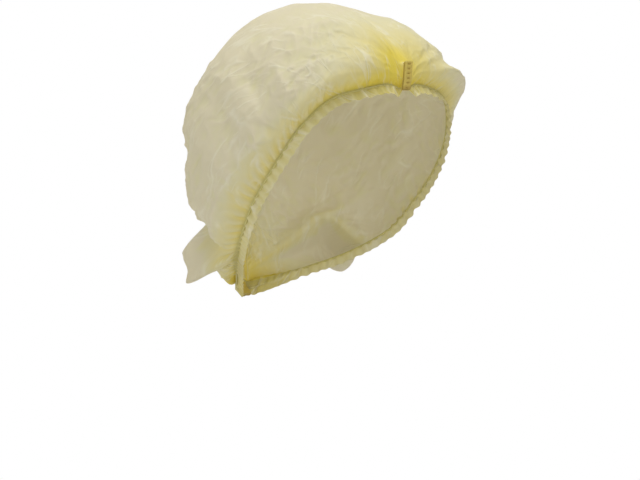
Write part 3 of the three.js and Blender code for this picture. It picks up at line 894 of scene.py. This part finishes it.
def show_mix(tree, share, first, second):
    """Shows two shaders in one, blended by a share."""
    mix = add(tree, "ShaderNodeMixShader", share, first.outputs[0], second.outputs[0])
    tree.links.new(mix.outputs[0], tree.nodes["Material Output"].inputs["Surface"])


# %% Surface that the finishes share
LONGWAYS = (1.0, 0.42, 1.0)  # a lower scale along the cloth draws the creases out that way
LARGE_LINE, SMALL_LINE, SMALL_SCALE = 0.03, 0.05, 2.1


def line_mask(tree, place, scale, width):
    """Thin lines where a noise passes its middle value: 1 - |n - 0.5| / width, never under 0."""
    noise = add(tree, "ShaderNodeTexNoise", Vector=place, Scale=scale, Detail=1.5, Roughness=0.5,
                Distortion=0.4)
    off = math_node(tree, "ABSOLUTE", math_node(tree, "SUBTRACT", noise.outputs["Fac"], 0.5))
    line = math_node(tree, "SUBTRACT", 1.0, math_node(tree, "DIVIDE", off, width))
    return math_node(tree, "MAXIMUM", line, 0.0)


def spunbond_group():
    """The surface that all the finishes share. Grain is fine noise for the mat of threads. Crease is a
    mask of short broken lines, elongated along the cap. Normal is both as a bump, in metres."""
    tree = bpy.data.node_groups.new("spunbond surface", "ShaderNodeTree")
    tree.interface.new_socket(name="Place", in_out="INPUT", socket_type="NodeSocketVector")
    for key, value in (("Grain scale", 1400.0), ("Grain height", 0.00005), ("Crease scale", 45.0),
                       ("Crease height", 0.0002)):
        socket = tree.interface.new_socket(name=key, in_out="INPUT", socket_type="NodeSocketFloat")
        socket.default_value = value
    for key, kind in (("Grain", "NodeSocketFloat"), ("Crease", "NodeSocketFloat"),
                      ("Normal", "NodeSocketVector")):
        tree.interface.new_socket(name=key, in_out="OUTPUT", socket_type=kind)
    given, result = tree.nodes.new("NodeGroupInput"), tree.nodes.new("NodeGroupOutput")
    grain = add(tree, "ShaderNodeTexNoise", Vector=given.outputs["Place"],
                Scale=given.outputs["Grain scale"], Detail=3.0, Roughness=0.65)
    longways = add(tree, "ShaderNodeMapping", Vector=given.outputs["Place"], Scale=LONGWAYS)
    scale = given.outputs["Crease scale"]
    finer = math_node(tree, "MULTIPLY", scale, SMALL_SCALE)
    large = line_mask(tree, longways.outputs["Vector"], scale, LARGE_LINE)
    small = line_mask(tree, longways.outputs["Vector"], finer, SMALL_LINE)
    gaps = add(tree, "ShaderNodeTexNoise", Vector=given.outputs["Place"], Scale=scale, Detail=2.0)
    open_places = math_node(tree, "MULTIPLY", math_node(tree, "SUBTRACT", gaps.outputs["Fac"], 0.46), 9.0)
    open_places = math_node(tree, "MINIMUM", math_node(tree, "MAXIMUM", open_places, 0.0), 1.0)
    lines = math_node(tree, "MAXIMUM", large, math_node(tree, "MULTIPLY", small, 0.6))
    lines = math_node(tree, "MULTIPLY", lines, open_places)
    rough = math_node(tree, "MULTIPLY", grain.outputs["Fac"], given.outputs["Grain height"])
    creased = math_node(tree, "MULTIPLY", lines, given.outputs["Crease height"])
    height = math_node(tree, "ADD", rough, creased)
    bump = add(tree, "ShaderNodeBump", Height=height, Strength=1.0, Distance=1.0)
    for key, value in (("Grain", grain.outputs["Fac"]), ("Crease", lines),
                       ("Normal", bump.outputs["Normal"])):
        tree.links.new(value, result.inputs[key])
    return tree


spunbond = spunbond_group()


def spunbond_node(tree, place, **values):
    """The shared surface placed in a material with that material's own values."""
    node = tree.nodes.new("ShaderNodeGroup")
    node.node_tree = spunbond
    tree.links.new(place, node.inputs["Place"])
    for key, value in values.items():
        node.inputs[key.replace("_", " ")].default_value = value
    return node


print(spunbond.name, "has", len(spunbond.nodes), "nodes")

# %% [markdown]
# The crown and the frills are one cloth with other shades. The elastic and the welds are plainer: two
# close shades, and for the welds a darker one where the tool has pressed.

# %% Finishes
CREASE_SCALE = 42.0
# painted highlight: the pale colour that crease lines are lightened towards
CREASE_HIGHLIGHT = (0.90, 0.86, 0.68)
# dark olive at the elastic: the hem's stacked layers and painted shade in its gathers
HEM_AND_SHADE_COLOUR = (0.46, 0.42, 0.12)
WELD_MARK = (0.36, 0.22, 0.02)
# Shares: uneven shade of the cloth, painted highlight on creases, darkening at the elastic (the hem's
# layers and painted shade), light let through.
CLOUDING, CREASE_HIGHLIGHT_SHARE, HEM_AND_SHADE_SHARE, LET_THROUGH = 0.35, 0.65, 0.4, 0.25
AGED_PLACE = 0.14  # of the middle shade, between one layer (0) and many (1)


def cloth_material(name, single, aged, layered, shade):
    """Pale where one layer lies alone and deeper where layers are gathered, with light passing through.
    Painted shade deepens the colour in folds, and painted highlights lighten the crease lines."""
    material, tree, surface = new_material(name)
    coordinates = tree.nodes.new("ShaderNodeTexCoord")
    cloud = add(tree, "ShaderNodeTexNoise", Vector=coordinates.outputs["UV"], Scale=60.0, Detail=4.0,
                Roughness=0.6)
    cloudy = math_node(tree, "MULTIPLY", math_node(tree, "SUBTRACT", cloud.outputs["Fac"], 0.5), CLOUDING)
    # painted shade: the colour deepens where the cloth lies deep in a fold
    painted_fold_shade = math_node(tree, "MULTIPLY", attribute(tree, "depth"), shade)
    layers_and_fold_shade = math_node(tree, "ADD", math_node(tree, "ADD", attribute(tree, "gathered_and_glow"), painted_fold_shade), cloudy)
    finish = spunbond_node(tree, coordinates.outputs["UV"], Grain_scale=1400.0, Grain_height=0.00005,
                           Crease_scale=CREASE_SCALE, Crease_height=0.0003)
    # painted highlight: crease lines are lightened as if they caught the light
    white = mixed(tree, math_node(tree, "MULTIPLY", finish.outputs["Crease"], CREASE_HIGHLIGHT_SHARE),
                  ramp(tree, layers_and_fold_shade, [(0.0, single), (AGED_PLACE, aged), (1.0, layered)]), CREASE_HIGHLIGHT)
    # darker at the elastic, for the hem's layers and for painted shade, deepest in the valleys
    colour = mixed(tree, math_node(tree, "MULTIPLY", attribute(tree, "hem_layers_and_shade"), HEM_AND_SHADE_SHARE), white, HEM_AND_SHADE_COLOUR)
    tree.links.new(colour, surface.inputs["Base Color"])
    tree.links.new(finish.outputs["Normal"], surface.inputs["Normal"])
    surface.inputs["Roughness"].default_value = 0.72
    through = add(tree, "ShaderNodeBsdfTranslucent", Color=colour, Normal=finish.outputs["Normal"])
    show_mix(tree, LET_THROUGH, surface, through)
    return material


def plain_material(name, colour, dark, roughness, marks=None):
    """Two close shades broken up by fine noise, and pressed marks where an attribute gives them."""
    material, tree, surface = new_material(name)
    coordinates = tree.nodes.new("ShaderNodeTexCoord")
    finish = spunbond_node(tree, coordinates.outputs["Object"], Grain_scale=900.0, Grain_height=0.0001,
                           Crease_scale=CREASE_SCALE, Crease_height=0.0)
    shades = ramp(tree, finish.outputs["Grain"], [(0.3, dark), (0.7, colour)])
    if marks:
        shades = mixed(tree, attribute(tree, marks), shades, WELD_MARK)
    tree.links.new(shades, surface.inputs["Base Color"])
    tree.links.new(finish.outputs["Normal"], surface.inputs["Normal"])
    surface.inputs["Roughness"].default_value = roughness
    return material


# the last value of each is how much painted shade deepens the cloth in its folds
crown_finish = cloth_material("crown nonwoven", (0.80, 0.735, 0.53), (0.79, 0.74, 0.48),
                              (0.84, 0.69, 0.10), 0.16)
hem_finish = cloth_material("frill nonwoven", (0.82, 0.76, 0.46), (0.80, 0.74, 0.42),
                            (0.70, 0.61, 0.20), 0.3)
# the elastic's olive is partly painted shade of the gathers round it
elastic_and_shade_finish = plain_material("elastic thread and painted shade", (0.62, 0.56, 0.22), (0.52, 0.46, 0.16), 0.7)
weld_finish = plain_material("welded cloth", (0.64, 0.50, 0.11), (0.56, 0.42, 0.08), 0.5, "pressed")
for name, piece in pieces.items():
    finish = (crown_finish if name.startswith("crown") else hem_finish if name.startswith("frill")
              else elastic_and_shade_finish if name.startswith("elastic") else weld_finish)
    piece.data.materials.append(finish)
    print(name, "is made of", finish.name)

# %% [markdown]
# Each piece stands for one solid of the imported part and belongs to its only body.

# %% Which solid each piece stands for
CARRIES = {
    "crown_cloth": ("crown", "nonwoven"),
    "frill_right_cloth": ("frill_right", "hem"),
    "frill_left_cloth": ("frill_left", "hem"),
    "elastic_right_cord": ("elastic_right", "elastic"),
    "elastic_left_cord": ("elastic_left", "elastic"),
    "front_weld": ("front_weld_tab", "weld"),
    "rear_weld": ("rear_weld_tab", "weld"),
}
for name, (node, slot) in CARRIES.items():
    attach(pieces[name], "root")
    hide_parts(node)

# %% [markdown]
# The stage is a plain white floor that runs up into a white wall. The lamps are broad and soft: a
# large one above, one in front, and a small low one behind. The wall and the world are fully white to
# the camera alone, so they stay plain without washing out the folds.

# %% Stage and light
AMBIENT = 0.38
FLOOR = 0.32


def stage_piece():
    """A floor strip that bends up into a wall: a quarter circle between two flats."""
    bend = np.linspace(0, np.pi / 2, 17)
    profile = np.concatenate([[[-4, 0]], np.stack([1.5 + np.sin(bend), 1 - np.cos(bend)], -1), [[2.5, 4]]])
    across = np.linspace(-5, 5, 3)
    right = np.array([math.cos(AZIMUTH), math.sin(AZIMUTH), 0])
    ahead = np.array([-math.sin(AZIMUTH), math.cos(AZIMUTH), 0])
    points = (profile[:, None, :1] * ahead + profile[:, None, 1:] * np.array([0, 0, 1])
              + across[None, :, None] * right)
    points[..., 2] -= FLOOR
    piece = grid_piece("backdrop", points)
    material, tree, surface = new_material("white paper")
    surface.inputs["Base Color"].default_value = (0.8, 0.8, 0.8, 1)
    surface.inputs["Roughness"].default_value = 0.9
    glow = add(tree, "ShaderNodeEmission", Color=(1, 1, 1, 1), Strength=1.0)
    rays = tree.nodes.new("ShaderNodeLightPath")
    show_mix(tree, rays.outputs["Is Camera Ray"], surface, glow)
    piece.data.materials.append(material)


def lamp(name, place, size, power, target=(0, 0, -0.1)):
    """A square lamp of a size in metres and a power in watts, turned to the target."""
    light = bpy.data.lights.new(name, "AREA")
    light.size, light.energy = size, power
    holder = bpy.data.objects.new(name, light)
    holder.location = place
    holder.rotation_euler = (Vector(target) - Vector(place)).to_track_quat("-Z", "Y").to_euler()
    scene.collection.objects.link(holder)


stage_piece()
world = bpy.data.worlds.new("studio")
scene.world = world
world.use_nodes = True
ambient = world.node_tree.nodes["Background"]
ambient.inputs["Color"].default_value = (1, 1, 1, 1)
rays = world.node_tree.nodes.new("ShaderNodeLightPath")
strength = math_node(world.node_tree, "MAXIMUM", rays.outputs["Is Camera Ray"], AMBIENT)
world.node_tree.links.new(strength, ambient.inputs["Strength"])
lamp("overhead", (0.0, -0.1, 1.3), 1.1, 15.5)
lamp("front", (-0.45, -1.6, 0.0), 1.0, 5)
lamp("low left", (-1.15, 0.85, -0.12), 0.5, 3.4)
scene.view_settings.view_transform = "Standard"
print("lamps:", sorted(light.name for light in bpy.data.lights))
